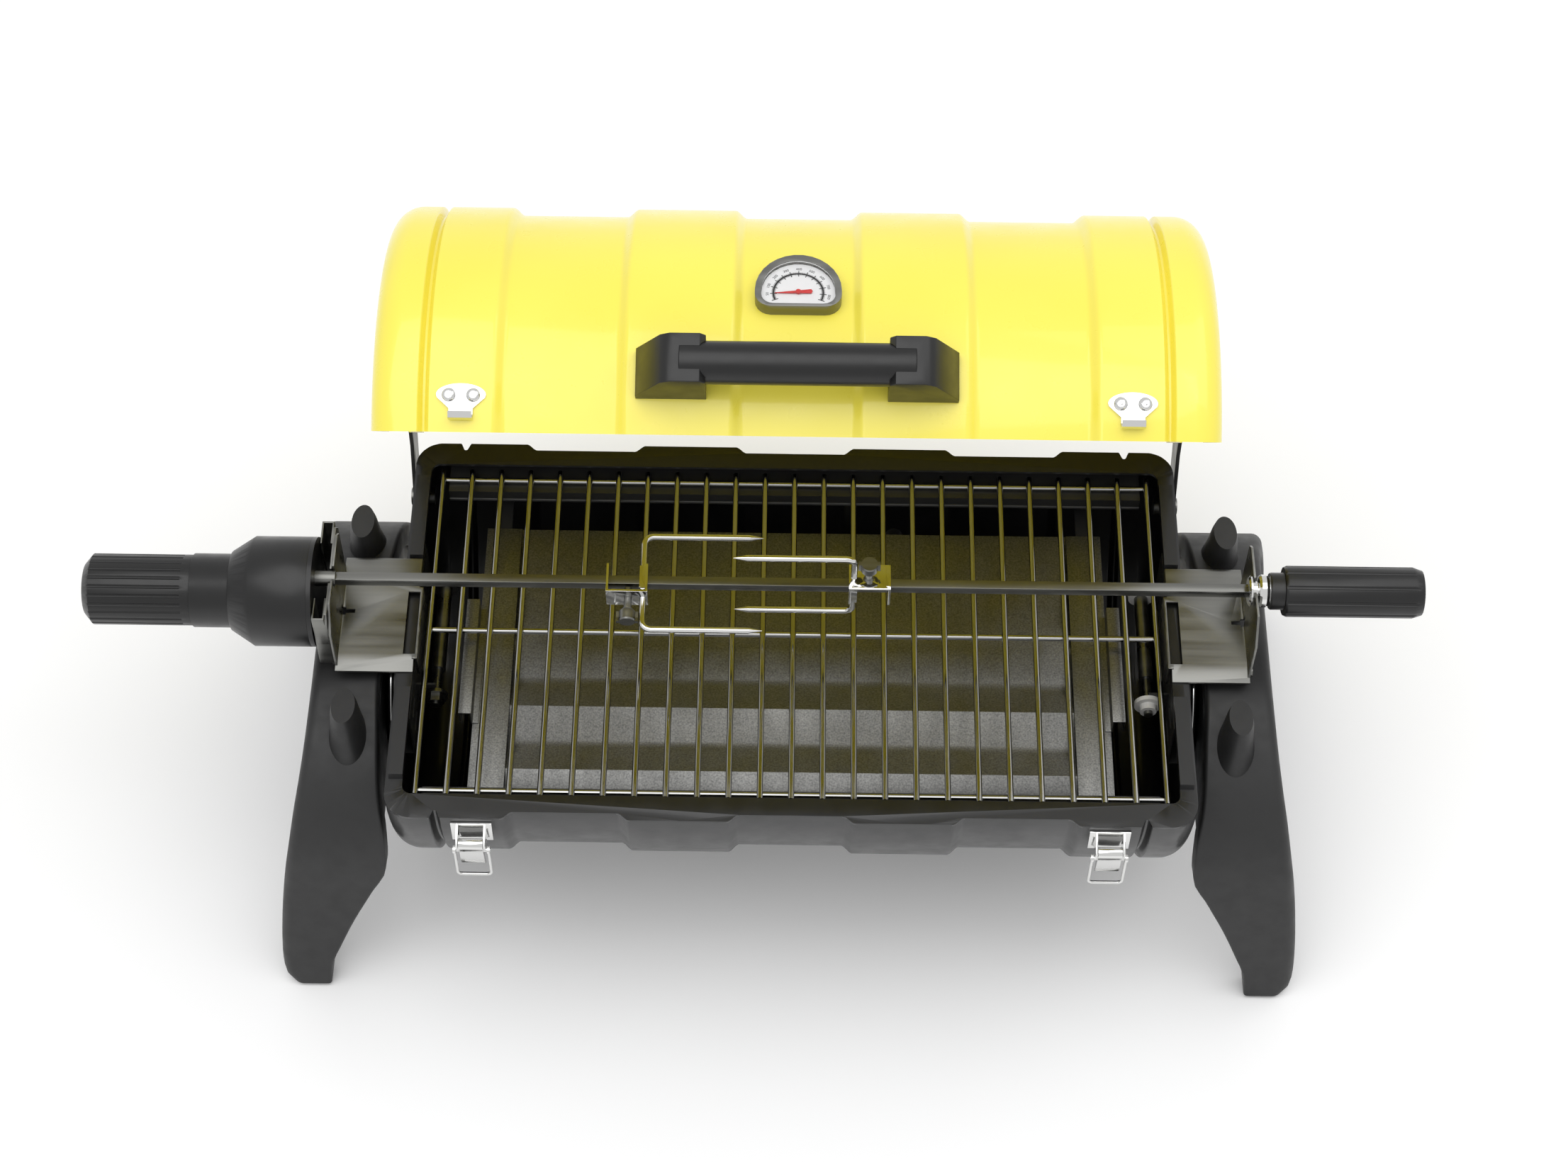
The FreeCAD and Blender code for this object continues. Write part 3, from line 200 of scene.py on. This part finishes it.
MATERIALS = {
    "black_enamel": paint("black_enamel", (0.004, 0.004, 0.0042), (0.007, 0.007, 0.0073), 0.34, 0.2),
    "yellow_paint": paint("yellow_paint", (0.84, 0.73, 0.075), (0.88, 0.77, 0.09), 0.30, 0.5),
    "charcoal_plastic": moulded("charcoal_plastic", (0.012, 0.012, 0.0123), (0.016, 0.016, 0.0163), 0.52),
    "black_plastic": moulded("black_plastic", (0.0022, 0.0022, 0.0023), (0.0038, 0.0038, 0.004), 0.34, 0.06),
    "stainless": brushed("stainless", (0.17, 0.17, 0.16), (0.25, 0.25, 0.235), 0.34, (0.05, 1, 1)),
    "chrome": polished("chrome", 0.72, 0.10),
    "galvanised": grained("galvanised", (0.13, 0.13, 0.127), (0.26, 0.26, 0.25), 0.42),
    "dark_steel": paint("dark_steel", (0.020, 0.020, 0.020), (0.035, 0.035, 0.034), 0.40, 0.15),
    "brass": brushed("brass", (0.60, 0.44, 0.20), (0.74, 0.57, 0.28), 0.25, (1, 0.05, 1)),
    "rubber": moulded("rubber", (0.012, 0.012, 0.012), (0.020, 0.020, 0.020), 0.80, 0.25),
    "ceramic": moulded("ceramic", (0.72, 0.71, 0.68), (0.82, 0.81, 0.78), 0.38, 0.05),
    "dial_white": moulded("dial_white", (0.86, 0.86, 0.86), (0.90, 0.90, 0.90), 0.50, 0.02),
    "needle_red": paint("needle_red", (0.60, 0.015, 0.012), (0.70, 0.022, 0.018), 0.30, 0.3),
    "cell_wrap": paint("cell_wrap", (0.05, 0.09, 0.14), (0.08, 0.13, 0.20), 0.35, 0.2),
    "gear_plastic": moulded("gear_plastic", (0.70, 0.68, 0.60), (0.78, 0.76, 0.68), 0.45, 0.08),
}
ROD_STEEL = polished("rod_steel", 0.40, 0.14)
GLASS = new_material("glass", (1, 1, 1), 0.02, 0.0, Transmission_Weight=1.0, IOR=1.2)
vary(GLASS, noise(GLASS, 40, 2), "Roughness", 0.01, 0.03)
MATERIALS["glass"] = GLASS
INK = moulded("dial_ink", (0.010, 0.010, 0.010), (0.020, 0.020, 0.020), 0.55, 0.02)

for name, node in NODES.items():
    if not node.material_slots:
        node.data.materials.append(None)
    for place in node.material_slots:
        place.material = MATERIALS[SLOT_OF[name]]


# ---------------------------------------------------------------- mesh helpers

def new_piece(name, bm, body, slot, nodes=(), matrix=PLACE, crease=34):
    """Turns a bmesh drawn in drum millimetres into a finished piece that rides on a body."""
    bmesh.ops.recalc_face_normals(bm, faces=bm.faces)
    for face in bm.faces:
        face.smooth = True
    for edge in bm.edges:
        edge.smooth = not (edge.is_manifold and edge.calc_face_angle(0) > math.radians(crease))
    mesh = bpy.data.meshes.new(name)
    bm.to_mesh(mesh)
    bm.free()
    mesh.transform(matrix)
    piece = bpy.data.objects.new(name, mesh)
    bpy.context.scene.collection.objects.link(piece)
    mesh.materials.append(MATERIALS[slot])
    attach(piece, body)
    if nodes:
        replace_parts(piece, *nodes)
    return piece


def skin(bm, rings, caps=True):
    """Quads between successive rings of points, with flat caps on the two ends."""
    rows = [[bm.verts.new(point) for point in ring] for ring in rings]
    count = len(rows[0])
    for low, high in zip(rows, rows[1:]):
        for k in range(count):
            nxt = (k + 1) % count
            bm.faces.new((low[k], low[nxt], high[nxt], high[k]))
    if caps:
        bm.faces.new(rows[0])
        bm.faces.new(rows[-1])


def merge(bm, other):
    """Adds a finished bmesh to another one and frees it."""
    scratch = bpy.data.meshes.new("scratch")
    other.to_mesh(scratch)
    other.free()
    bm.from_mesh(scratch)
    bpy.data.meshes.remove(scratch)


def bar(bm, points, radius, sides=16):
    """A round wire along a list of points, with slightly domed ends."""
    dome = 0.35
    path = [Vector(point) for point in points]
    first = (path[0] - path[1]).normalized()
    last = (path[-1] - path[-2]).normalized()
    widths = [radius * 0.7] + [radius] * len(path) + [radius * 0.7]
    spots = [path[0]] + path + [path[-1]]
    spots[0] = path[0] + first * radius * dome
    spots[-1] = path[-1] + last * radius * dome
    side = first.orthogonal().normalized()
    rings = []
    for k, (spot, width) in enumerate(zip(spots, widths)):
        ahead = spots[min(k + 1, len(spots) - 1)] - spots[max(k - 1, 0)]
        side = (side - ahead.normalized() * side.dot(ahead.normalized())).normalized()
        up = ahead.normalized().cross(side)
        rings.append([spot + (side * math.cos(a) + up * math.sin(a)) * width for a in circle(sides)])
    skin(bm, rings)


def rounded_path(corners, radius, steps=6):
    """Straight runs joined by arcs: each inner corner becomes a quarter-like bend."""
    points = [Vector(corners[0])]
    for before, corner, after in zip(corners, corners[1:], corners[2:]):
        corner = Vector(corner)
        enter = corner + (Vector(before) - corner).normalized() * radius
        leave = corner + (Vector(after) - corner).normalized() * radius
        for k in range(steps + 1):
            t = k / steps
            points.append(enter * (1 - t) ** 2 + corner * 2 * t * (1 - t) + leave * t ** 2)
    points.append(Vector(corners[-1]))
    return points


def plate(bm, outline, x0, x1):
    """A flat (y, z) outline given thickness along X."""
    skin(bm, [[(x, y, z) for y, z in outline] for x in (x0, x1)])


def flat_plate(bm, outline, z0, z1):
    """A flat (x, y) outline given thickness along Z."""
    skin(bm, [[(x, y, z) for x, y in outline] for z in (z0, z1)])


def soften(bm, width, segments=2, angle=35):
    """Rounds every edge that turns by more than the angle."""
    limit = math.radians(angle)
    sharp = [edge for edge in bm.edges if edge.is_manifold and edge.calc_face_angle(0) > limit]
    bmesh.ops.bevel(bm, geom=sharp, offset=width, offset_type="OFFSET", segments=segments, profile=0.5,
                    clamp_overlap=True, affect="EDGES")


def softened(node, width, segments=2):
    """A copy of a CAD node with its sharp edges rounded, which takes the node's place."""
    bm = bmesh.new()
    bm.from_mesh(NODES[node].data)
    bmesh.ops.remove_doubles(bm, verts=bm.verts, dist=1e-6)
    bmesh.ops.dissolve_limit(bm, angle_limit=math.radians(0.6), verts=bm.verts, edges=bm.edges)
    soften(bm, width * MM, segments)
    new_piece(node + "_piece", bm, BODY_OF[node], SLOT_OF[node], [node], Matrix.Identity(4))


# ---------------------------------------------------------------- drum

def ease(t):
    t = min(max(t, 0), 1)
    return t * t * (3 - 2 * t)


def drum_radius(x):
    """The rolled profile: raised bands with soft shoulders, and a narrow seam near each end."""
    x = abs(x)
    radius = DRUM_R - RECESS
    sign = 1
    for start, end in BAND_STEPS:
        radius += sign * RECESS * ease((x - start + 1.2) / (end - start + 2.4))
        sign = -sign
    seam = 1 - ease((abs(x - SEAM_X) - 0.5) / (2 * SEAM_HALF))
    if x > HALF_LENGTH - SHOULDER_R:
        over = x - (HALF_LENGTH - SHOULDER_R)
        radius = DRUM_R - SHOULDER_R + math.sqrt(max(SHOULDER_R ** 2 - over ** 2, 0))
    return radius - SEAM_DEPTH * seam


def drum_stations():
    """Places along the drum, close together where the profile turns."""
    turns = {SEAM_X + d * 0.4 for d in range(-12, 13)}
    for start, end in BAND_STEPS:
        turns |= {start - 2 + (end - start + 4) * k / 10 for k in range(11)}
    arc = {HALF_LENGTH - SHOULDER_R + SHOULDER_R * math.sin(math.radians(a)) for a in range(0, 91, 6)}
    half = sorted(turns | arc | {0.0, 12, 24, 50, 70, 88, 120, 140, 160, 195, 208})
    return [-x for x in half[:0:-1]] + half


def drum_shell(bm, side, start_z, end_angle):
    """Half a drum of sheet: side 1 is the lid, -1 the bowl."""
    stations = drum_stations()
    steps = 72
    rings = []
    for k in range(steps + 1):
        ring = []
        for thick in (0.0, SHEET):
            row = []
            for x in stations:
                radius = drum_radius(x) - thick
                first = math.asin(start_z / radius)
                angle = first + (math.pi - math.radians(end_angle) - first) * k / steps
                inset = math.copysign(thick if abs(x) == HALF_LENGTH else 0, x)
                row.append((x - inset, -radius * math.cos(angle), side * radius * math.sin(angle)))
            ring += row if not thick else row[::-1]
        rings.append(ring)
    skin(bm, rings)


def half_disc(radius, side, bottom, steps=60):
    """The curved edge of an end wall, from rear to front."""
    start = math.asin(bottom / radius)
    turns = [start + (math.pi - 2 * start) * k / steps for k in range(steps + 1)]
    return [(radius * math.cos(a), side * radius * math.sin(a)) for a in turns]


def make_lid():
    bm = bmesh.new()
    drum_shell(bm, 1, RIM_GAP, LID_REAR_CUT)
    edge = half_disc(DRUM_R - SHOULDER_R, 1, RIM_GAP)
    slot = [(-33.2, 9), (-10, 58), (-5, 63), (8, 63), (13, 57), (15.5, 9)]
    foot = [(-56, RIM_GAP), (-56, 9)] + slot + [(56, 9), (56, RIM_GAP)]
    for side in (-1, 1):
        plate(bm, edge + foot, side * (HALF_LENGTH - SHEET), side * HALF_LENGTH)
    nodes = ["lid_drum", "lid_left_end", "lid_right_end"]
    new_piece("lid_shell", bm, "lid", "yellow_paint", nodes, ON_LID)


def make_bowl():
    bm = bmesh.new()
    drum_shell(bm, -1, RIM_GAP, BOWL_REAR_CUT)
    edge = half_disc(DRUM_R - SHOULDER_R, -1, RIM_GAP)
    for side in (-1, 1):
        plate(bm, edge, side * (HALF_LENGTH - SHEET), side * HALF_LENGTH)
    nodes = ["bowl_drum", "bowl_left_end", "bowl_right_end"]
    new_piece("bowl_shell", bm, "bowl", "black_enamel", nodes)


def make_rim():
    """The flat frame on the bowl's edge, with a raised pad at each corner of its ends."""
    inner_x, inner_y, corner = 247.0, 130.0, 6.0
    stations = drum_stations()
    outer = [(x, -drum_radius(x)) for x in stations] + [(x, drum_radius(x)) for x in reversed(stations)]
    bm = bmesh.new()
    inner = []
    for cx, cy, first in ((1, -1, -90), (1, 1, 0), (-1, 1, 90), (-1, -1, 180)):
        for step in range(0, 91, 15):
            a = math.radians(first + step)
            inner.append((cx * (inner_x - corner) + corner * math.cos(a),
                          cy * (inner_y - corner) + corner * math.sin(a)))
    for z in (0.0, -2.0):
        loops = []
        for ring in (outer, inner):
            verts = [bm.verts.new((x, y, z)) for x, y in ring]
            loops += [bm.edges.new((verts[k], verts[(k + 1) % len(verts)])) for k in range(len(verts))]
        bmesh.ops.triangle_fill(bm, use_beauty=True, edges=loops)
    levels = len(outer) + len(inner)
    bm.verts.ensure_lookup_table()
    for start, count in ((0, len(outer)), (len(outer), len(inner))):
        for k in range(count):
            a, b = start + k, start + (k + 1) % count
            bm.faces.new((bm.verts[a], bm.verts[b], bm.verts[b + levels], bm.verts[a + levels]))
    soften(bm, 0.7, 2, 60)
    for side in (-1, 1):
        for end in (-1, 1):
            pad = bmesh.new()
            ridge = [(side * 50, -1), (side * 52, 3.5), (side * 118, 3.5), (side * 120, -1)]
            plate(pad, ridge, end * inner_x, end * (HALF_LENGTH - 2))
            soften(pad, 0.8, 3)
            merge(bm, pad)
    new_piece("rim", bm, "bowl", "black_enamel", ["rim_frame"])


# ---------------------------------------------------------------- grate

def make_grate():
    bm = bmesh.new()
    wires, pitch, radius = 25, 20.0, 2.0
    front, back, reach = -126.0, 130.0, 242
    for k in range(wires):
        x = pitch * (k - wires // 2)
        bar(bm, [(x, front, -8), (x, back, -8)], radius)
    for y in (front + 5, (front + back) / 2, back - 5):
        bar(bm, [(-reach, y, -11.6), (reach, y, -11.6)], radius)
    new_piece("grate", bm, "bowl", "chrome", ["cooking_grate"]).data.materials[0] = ROD_STEEL


# ---------------------------------------------------------------- legs

LEG_TOP = -8.0
LEG_FLAT = 30.0
LEG_ARC = 110.0
LEG_TILT = math.radians(75)
LEG_BAND = 16.0
LEG_FOOT = -197.0
LEG_OUTER = ((-8, 314.5), (-20, 317), (-33, 320), (-50, 324), (-73, 328.5), (-103, 334), (-136, 338.7),
             (-163, 341.4), (-183, 342), (-193, 340), (-200, 334))
LEG_INNER = ((-8, 270.5), (-18, 268.7), (-42, 267.3), (-62, 265.2), (-88, 265.2), (-98, 267.7),
             (-108, 274.1), (-121.4, 281.3), (-135, 288.5), (-148.5, 294.9), (-162, 300.8), (-178, 307.5),
             (-200, 310.5))


def along(table, z):
    """A smooth curve through (z, x) points."""
    z = min(max(z, table[-1][0]), table[0][0])
    for k, ((za, xa), (zb, xb)) in enumerate(zip(table, table[1:])):
        if za >= z >= zb:
            before = table[max(k - 1, 0)]
            after = table[min(k + 2, len(table) - 1)]
            slope_a = (xb - before[1]) / (zb - before[0])
            slope_b = (after[1] - xa) / (after[0] - za)
            span = zb - za
            t = (z - za) / span
            return ((2 * t ** 3 - 3 * t ** 2 + 1) * xa + (t ** 3 - 2 * t ** 2 + t) * span * slope_a
                    + (3 * t ** 2 - 2 * t ** 3) * xb + (t ** 3 - t ** 2) * span * slope_b)
    return table[-1][1]


def leg_path():
    """(y, z, outward direction) stations over the arch, from the front foot to the rear one."""
    half = []
    for k in range(5):
        half.append((LEG_FLAT * k / 5, LEG_TOP, 0.0))
    for k in range(19):
        a = LEG_TILT * k / 18
        half.append((LEG_FLAT + LEG_ARC * math.sin(a), LEG_TOP - LEG_ARC + LEG_ARC * math.cos(a), a))
    y, z, a = half[-1]
    drop = z - LEG_FOOT
    for k in range(1, 17):
        half.append((y + drop * k / 16 / math.tan(LEG_TILT), z - drop * k / 16, a))
    return [(-y, z, -a) for y, z, a in half[:0:-1]] + half


def leg_section(x_in, x_out):
    """(x, depth) round the band: a large radius on the outer top edge, small ones elsewhere."""
    corners = ((x_out, 0, 7.5, 90), (x_in, 0, 2.5, 180),
               (x_in, LEG_BAND, 1.5, 270), (x_out, LEG_BAND, 2.5, 0))
    ring = []
    for x, depth, radius, first in corners:
        cx = x - radius if x == x_out else x + radius
        cd = depth + radius if depth == 0 else depth - radius
        for step in range(0, 91, 15):
            a = math.radians(first - 90 + step)
            ring.append((cx + radius * math.cos(a), cd - radius * math.sin(a)))
    return ring


def make_peg(bm, side):
    """A stubby oval peg that flares into the leg and ends flat."""
    stages = ((-46, 15.5, 21.5), (-34, 14.6, 20), (-22, 13, 18), (-12, 11, 16.4), (-2, 9.8, 15.2),
              (6, 9, 14.4), (12, 7.6, 13.4))
    rings = []
    for z, wide, long in stages:
        drift = (z + 46) * 0.04
        rings.append([(PEG_X + wide * math.cos(a), side * PEG_Y + long * math.sin(a) - side * drift, z)
                      for a in circle(40)])
    skin(bm, rings)


def make_leg(end, name):
    bm = bmesh.new()
    rings = []
    for y, z, a in leg_path():
        ring = []
        for x, depth in leg_section(along(LEG_INNER, z), along(LEG_OUTER, z)):
            spot_z = max(z - depth * math.cos(a), LEG_FOOT)
            ring.append((x, y - depth * math.sin(a), spot_z))
        rings.append(ring)
    skin(bm, rings)
    for side in (-1, 1):
        make_peg(bm, side)
    web = [(y - 15 * math.sin(a), z - 15 * math.cos(a)) for y, z, a in leg_path() if z > -92]
    plate(bm, web, 270, 274)
    hub_r, hub_z = 46, -75
    plate(bm, [(hub_r * math.cos(a), hub_z + hub_r * math.sin(a)) for a in circle(48)], 270, 276)
    for y in (-28, 28):
        plate(bm, [(y - 5, -14), (y + 5, -14), (y + 5, 1.4), (y - 5, 1.4)], 286, 296)
    if end < 0:
        bmesh.ops.scale(bm, vec=(-1, 1, 1), verts=bm.verts)
    new_piece(name + "_shell", bm, "bowl", "charcoal_plastic", [name], crease=50)


# ---------------------------------------------------------------- gauge dial

DIAL_ANGLE, DIAL_RADIUS = 37.5, DRUM_R - RECESS
FIRST_MARK, LAST_MARK = 201.5, -22.5
MAJOR_MARKS, FINE_MARKS = 12, 8
LABEL_R = 18.9
FIFTY_ANGLE, HUNDRED_ANGLE, HUNDRED_STEP = 183.4, 163.4, 24.7
DIAL_FACE = 4.62


def dial_mark(fraction):
    return math.radians(FIRST_MARK + (LAST_MARK - FIRST_MARK) * fraction)


def dial_number(value, degrees, spot):
    """A generic printed number, standing outside the scale and turned to face its middle."""
    angle = math.radians(degrees)
    text = bpy.data.curves.new("dial_number", "FONT")
    text.body = str(value)
    text.size = 2.5
    text.align_x = "CENTER"
    text.align_y = "CENTER"
    text.extrude = 0.04
    drawn = bpy.data.objects.new("dial_number", text)
    bpy.context.scene.collection.objects.link(drawn)
    bpy.context.view_layer.update()
    mesh = bpy.data.meshes.new_from_object(drawn)
    bpy.data.objects.remove(drawn)
    place = Matrix.Translation((LABEL_R * math.cos(angle), LABEL_R * math.sin(angle), DIAL_FACE))
    mesh.transform(spot @ place @ Matrix.Rotation(angle - math.pi / 2, 4, "Z"))
    mesh.materials.clear()
    mesh.materials.append(INK)
    piece = bpy.data.objects.new("dial_number_" + str(value), mesh)
    bpy.context.scene.collection.objects.link(piece)
    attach(piece, "lid")


def make_dial():
    spot = lid_spot(DIAL_ANGLE, DIAL_RADIUS)
    low, high = DIAL_FACE, DIAL_FACE + 0.1
    steps = MAJOR_MARKS * FINE_MARKS
    bm = bmesh.new()
    rings = []
    for k in range(steps + 1):
        a = dial_mark(k / steps)
        rings.append([(r * math.cos(a), r * math.sin(a), z)
                      for r, z in ((14.7, low), (15.7, low), (15.7, high), (14.7, high))])
        inside, outside, half = (13.1, 17.3, 0.25) if k % FINE_MARKS == 0 else (14.0, 16.4, 0.09)
        across = Vector((-math.sin(a), math.cos(a), 0)) * half
        ray = Vector((math.cos(a), math.sin(a), 0))
        near, far = ray * inside, ray * outside
        corners = (near - across, near + across, far + across, far - across)
        skin(bm, [[(c.x, c.y, z) for c in corners] for z in (low, high)])
    skin(bm, rings)
    new_piece("dial_scale", bm, "lid", "dial_white", matrix=spot).data.materials[0] = INK
    dial_number(50, FIFTY_ANGLE, spot)
    for hundreds in range(1, 9):
        dial_number(100 * hundreds, HUNDRED_ANGLE - HUNDRED_STEP * (hundreds - 1), spot)


# ---------------------------------------------------------------- lid fittings and latches

def make_catch(end):
    """A pressed plate with an oval head, two domed rivets and a hook curled out at the foot."""
    bm = bmesh.new()
    outline = [(15 * math.cos(a), -1.3 + 6.9 * math.sin(a)) for a in circle(48)[:25]]
    outline += [(-14.5, -3.0), (-7.2, -9.7), (-7.2, -14), (7.2, -14), (7.2, -9.7), (14.5, -3.0)]
    flat_plate(bm, outline, 0, 1.4)
    soften(bm, 0.4, 2)
    dome = ((4.3, 1.2), (4.2, 1.8), (3.6, 2.7), (2.3, 3.3), (1.85, 3.2), (0.6, 3.5))
    for x in (-7.4, 7.4):
        skin(bm, [[(x + r * math.cos(a), -1.5 + r * math.sin(a), z) for a in circle(32)] for r, z in dome])
    hook = [(-9, 0.2), (-15, 0.2), (-17.2, 3.6), (-16.4, 6.8), (-12.6, 8.2)]
    hook += [(-12.3, 7.1), (-15.2, 6.0), (-15.9, 3.7), (-14.4, 1.5), (-9, 1.5)]
    curl = bmesh.new()
    plate(curl, hook, -7.1, 7.1)
    soften(curl, 0.25, 2)
    merge(bm, curl)
    spot = lid_spot(CATCH_ANGLE, DRUM_R) @ Matrix.Translation((end * LATCH_X, 0, 0))
    name = "right_catch" if end > 0 else "left_catch"
    return new_piece(name, bm, "lid", "chrome", matrix=spot)


def make_bail(end, name):
    """A wire loop with rounded corners and an eye at each end."""
    bm = bmesh.new()
    x, y = LATCH_X, LATCH_Y
    top, drop, half = -19.0, 31.0, 10.8
    corners = [(x - half, y, top - 1.5), (x - half, y, top - drop), (x + half, y, top - drop),
               (x + half, y, top - 1.5)]
    bar(bm, rounded_path(corners, 3.5), 1.1, 14)
    for sign in (-1, 1):
        cx = x + sign * half
        rings = []
        for offset, radius in ((-0.9, 1.3), (-0.9, 2.5), (0.9, 2.5), (0.9, 1.3), (-0.9, 1.3)):
            rings.append([(cx + offset, y + radius * math.cos(a), top + radius * math.sin(a))
                          for a in circle(24)])
        skin(bm, rings, caps=False)
    bmesh.ops.remove_doubles(bm, verts=bm.verts, dist=0.001)
    if end < 0:
        bmesh.ops.scale(bm, vec=(-1, 1, 1), verts=bm.verts)
    new_piece(name + "_wire", bm, BODY_OF[name], "chrome", [name])


make_lid()
make_bowl()
make_rim()
make_grate()
make_leg(1, "right_leg")
make_leg(-1, "left_leg")
make_dial()
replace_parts(make_catch(1), "lid_catches")
make_catch(-1)
make_bail(1, "right_latch_bail")
make_bail(-1, "left_latch_bail")
softened("lid_handle_ends", 3.2, 4)
EDGE_WIDTHS = (
    ("left_spit_bracket", 0.35), ("right_spit_bracket", 0.35), ("motor_mount", 0.3), ("heat_plate", 0.25),
    ("heat_plate_ends", 0.25), ("left_latch_lever", 0.35), ("right_latch_lever", 0.35),
    ("latch_bases", 0.25), ("gauge_case", 0.9), ("lid_arms", 0.4), ("spit_rod", 0.35), ("left_fork", 0.25),
    ("right_fork", 0.25), ("spit_handle", 0.5), ("battery_cover", 0.5), ("motor_housing", 0.8),
    ("foot_pads", 0.5))
for name, width in EDGE_WIDTHS:
    softened(name, width)


# ---------------------------------------------------------------- stage

def make_floor():
    reach = 6.0
    mesh = bpy.data.meshes.new("studio_floor")
    corners = [(-reach, -reach, 0), (reach, -reach, 0), (reach, reach, 0), (-reach, reach, 0)]
    mesh.from_pydata(corners, [], [(0, 1, 2, 3)])
    floor = bpy.data.objects.new("studio_floor", mesh)
    bpy.context.scene.collection.objects.link(floor)
    material = new_material("floor_white", (0.93, 0.93, 0.93), 0.75)
    vary(material, noise(material, 1.5, 2), "Base Color", (0.925, 0.925, 0.925), (0.935, 0.935, 0.935))
    mesh.materials.append(material)


def make_light(name, spot, aim, size, power):
    data = bpy.data.lights.new(name, "AREA")
    data.shape = "RECTANGLE"
    data.size, data.size_y = size
    data.energy = power
    light = bpy.data.objects.new(name, data)
    light.location = spot
    light.rotation_euler = (Vector(aim) - Vector(spot)).to_track_quat("-Z", "Y").to_euler()
    bpy.context.scene.collection.objects.link(light)


def make_world():
    world = bpy.data.worlds.new("studio")
    world.use_nodes = True
    background = world.node_tree.nodes["Background"]
    background.inputs["Color"].default_value = (1, 1, 1, 1)
    background.inputs["Strength"].default_value = 0.80
    bpy.context.scene.world = world
    bpy.context.scene.view_settings.view_transform = "Standard"


CAMERA_DROP = math.radians(55.67)
CAMERA_ROLL = math.radians(0.78)
CAMERA_OFFSET = (-6.3, -1109.0, 1670.5)


def make_camera():
    data = bpy.data.cameras.new("camera")
    data.lens = 70.0
    data.sensor_width = 36.0
    data.clip_end = 50.0
    camera = bpy.data.objects.new("camera", data)
    tilt = Matrix.Rotation(math.pi / 2 - CAMERA_DROP, 4, "X")
    roll = Matrix.Rotation(CAMERA_ROLL, 4, "Z")
    camera.matrix_world = Matrix.Translation(at(*CAMERA_OFFSET)) @ tilt @ roll
    bpy.context.scene.collection.objects.link(camera)
    bpy.context.scene.camera = camera


make_floor()
make_world()
make_light("key", (-0.5, -0.5, 2.8), (0, 0, 0.15), (2.4, 2.4), 30)
make_light("fill", (1.3, 0.3, 2.4), (0, 0, 0.15), (1.8, 1.8), 12)
make_camera()
